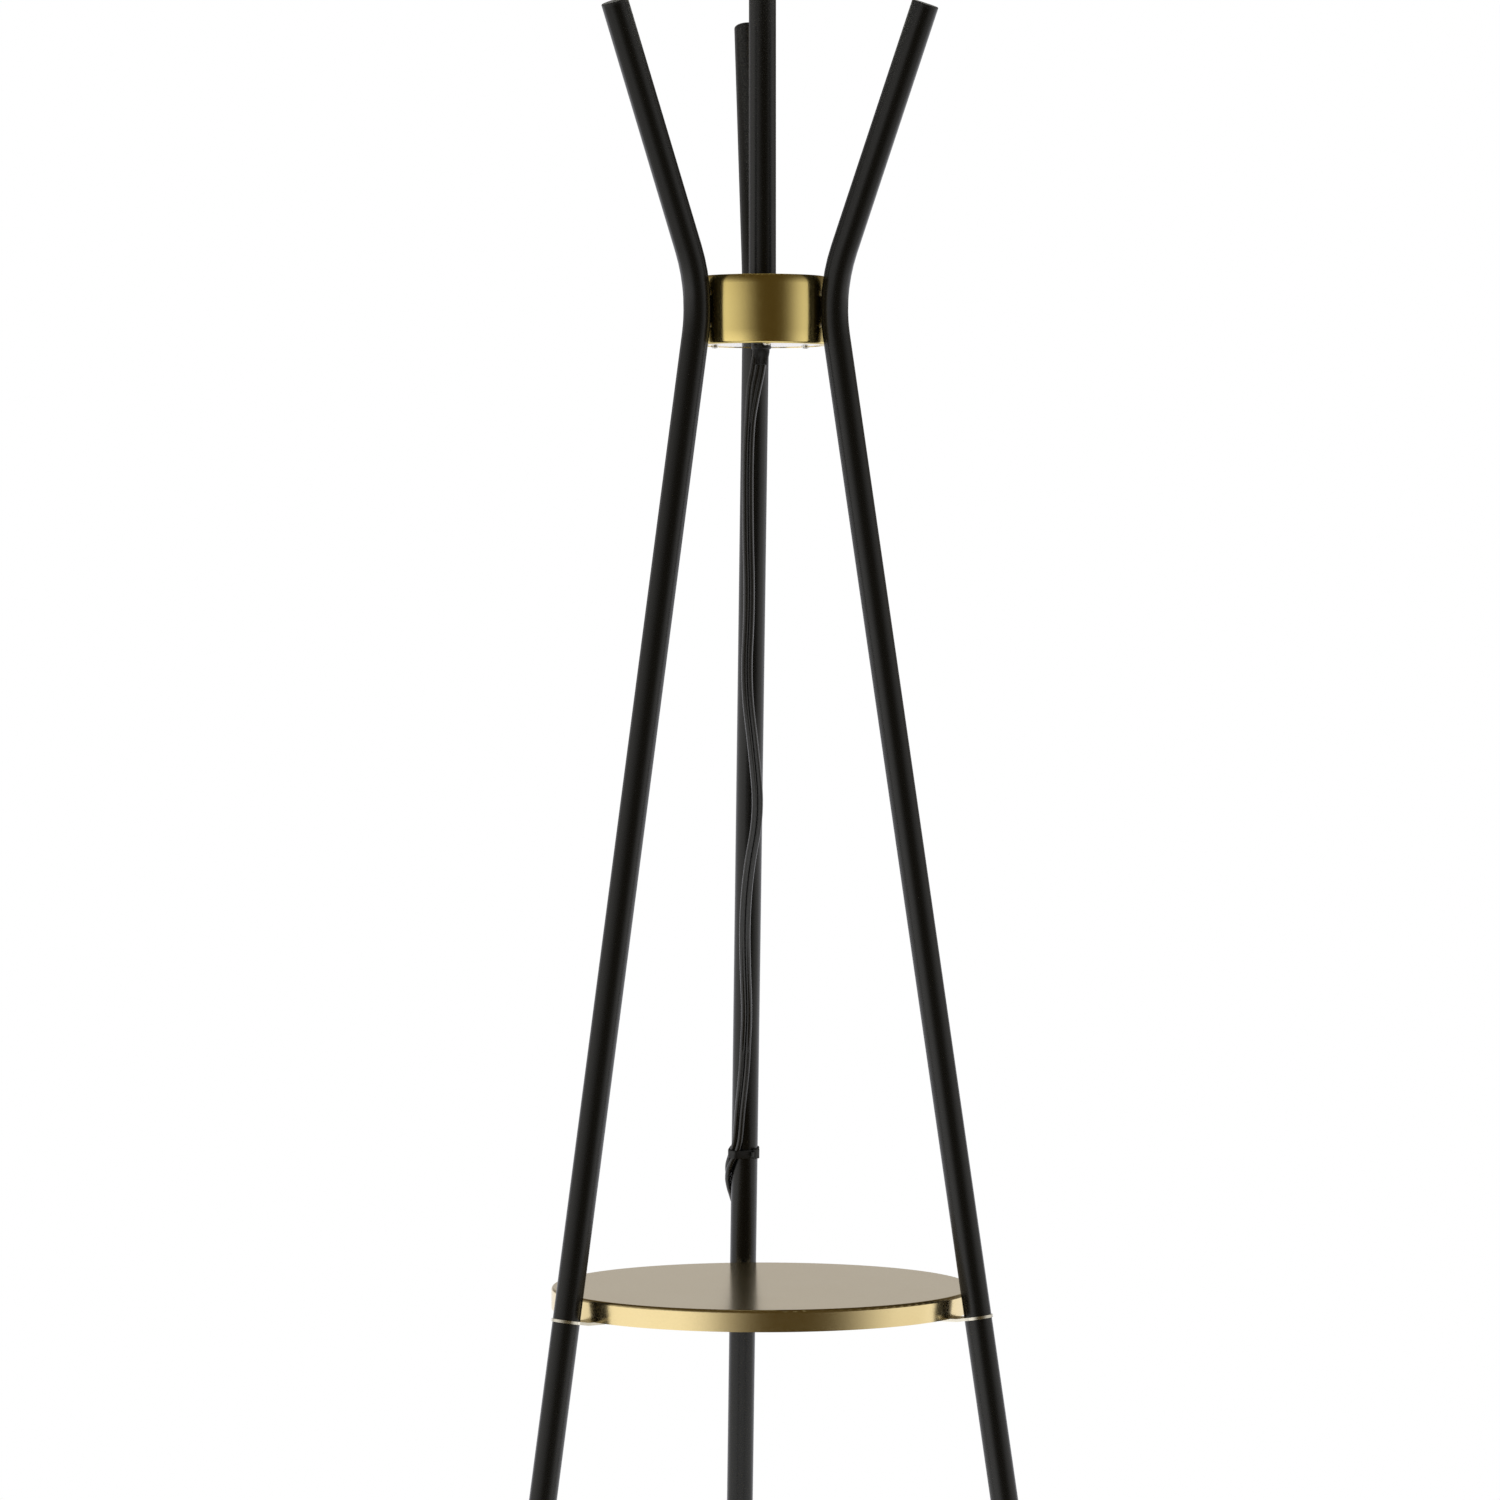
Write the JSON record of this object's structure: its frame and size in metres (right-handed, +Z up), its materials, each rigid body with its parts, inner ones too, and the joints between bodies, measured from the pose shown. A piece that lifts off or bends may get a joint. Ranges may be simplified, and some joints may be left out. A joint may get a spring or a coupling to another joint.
{
  "type": "shelf floor lamp",
  "caption": "Tripod floor lamp with bent black tube legs round a brass collar, a round brass shelf between the legs, a stem with a drum shade, and a mains cord down the rear leg",
  "frame": {"origin": "on the floor, on the common axis of the collar, the stem and the shelf", "axes": "+Z up; the rear leg stands in +Y and -Y is the front, as the picture shows the lamp"},
  "size_m": [0.4352, 0.6211, 1.6525],
  "materials": {
    "black_coat": "satin powder coat",
    "satin_brass": "satin lacquered brass plate",
    "black_plastic": "moulded",
    "foot_rubber": "matt",
    "zinc_steel": "zinc plated",
    "liner_card": "pressed insulating card",
    "black_phenolic": "moulded, semi-gloss",
    "brass_contact": "bare pressed brass",
    "bulb_metal": "pressed",
    "frosted_glass": "frosted inside",
    "shade_fabric": "woven linen over a stiff backing",
    "relief_rubber": "matt",
    "cord_sheath": "soft PVC, satin",
    "plug_brass": "bare"
  },
  "bodies": {
    "stand": {"upper_leg_rear": "black_coat", "lower_leg_rear": "black_coat", "arm_cap_rear": "black_plastic", "foot_tip_rear": "foot_rubber", "shelf_tab_rear": "satin_brass", "upper_leg_left": "black_coat", "lower_leg_left": "black_coat", "arm_cap_left": "black_plastic", "foot_tip_left": "foot_rubber", "shelf_tab_left": "satin_brass", "upper_leg_right": "black_coat", "lower_leg_right": "black_coat", "arm_cap_right": "black_plastic", "foot_tip_right": "foot_rubber", "shelf_tab_right": "satin_brass", "stem_tube": "black_coat", "collar_cup": "satin_brass", "shelf_pan": "satin_brass", "holder_cap": "satin_brass", "holder_shell": "satin_brass", "collar_cover": "black_coat", "leg_inserts": "zinc_steel", "leg_joint_studs": "zinc_steel", "leg_screws": "zinc_steel", "leg_nut_bars": "zinc_steel", "cover_screws": "zinc_steel", "collar_nipple": "zinc_steel", "collar_lock_nut": "zinc_steel", "stem_lower_insert": "zinc_steel", "stem_upper_insert": "zinc_steel", "tab_nuts": "zinc_steel", "holder_nipple": "zinc_steel", "terminal_screws": "zinc_steel", "harp_bow": "zinc_steel", "harp_saddle": "zinc_steel", "holder_liner": "liner_card", "holder_body": "black_phenolic", "screw_shell": "brass_contact", "centre_contact": "brass_contact", "bulb_cap": "bulb_metal", "bulb_tip": "bulb_metal", "bulb_globe": "frosted_glass", "strain_relief": "relief_rubber", "cord_run": "cord_sheath", "cord_coil": "cord_sheath", "inner_wires": "cord_sheath", "plug_body": "cord_sheath", "plug_blades": "plug_brass", "cable_ties": "black_plastic", "coil_tie": "black_plastic"},
    "switch": {"switch_shaft": "zinc_steel", "switch_knob": "black_phenolic"},
    "shade": {"shade_drum": "shade_fabric", "shade_top_frame": "zinc_steel", "shade_bottom_ring": "zinc_steel", "swivel_stud": "zinc_steel", "finial": "satin_brass"},
    "sleeve_left": {"harp_sleeve_left": "zinc_steel"},
    "sleeve_right": {"harp_sleeve_right": "zinc_steel"}
  },
  "joints": [
    {"name": "switch_turn", "type": "hinge", "parent": "stand", "child": "switch", "pos_m": [0, -0.03, 1.4627], "axis": [0, -1, 0], "continuous": true},
    {"name": "shade_turn", "type": "hinge", "parent": "stand", "child": "shade", "pos_m": [0, 0, 1.6207], "axis": [0, 0, 1], "continuous": true},
    {"name": "sleeve_left_slide", "type": "slide", "parent": "stand", "child": "sleeve_left", "axis": [0, 0, 1], "range_m": [0, 0.008]},
    {"name": "sleeve_right_slide", "type": "slide", "parent": "stand", "child": "sleeve_right", "axis": [0, 0, 1], "range_m": [0, 0.008]}
  ]
}
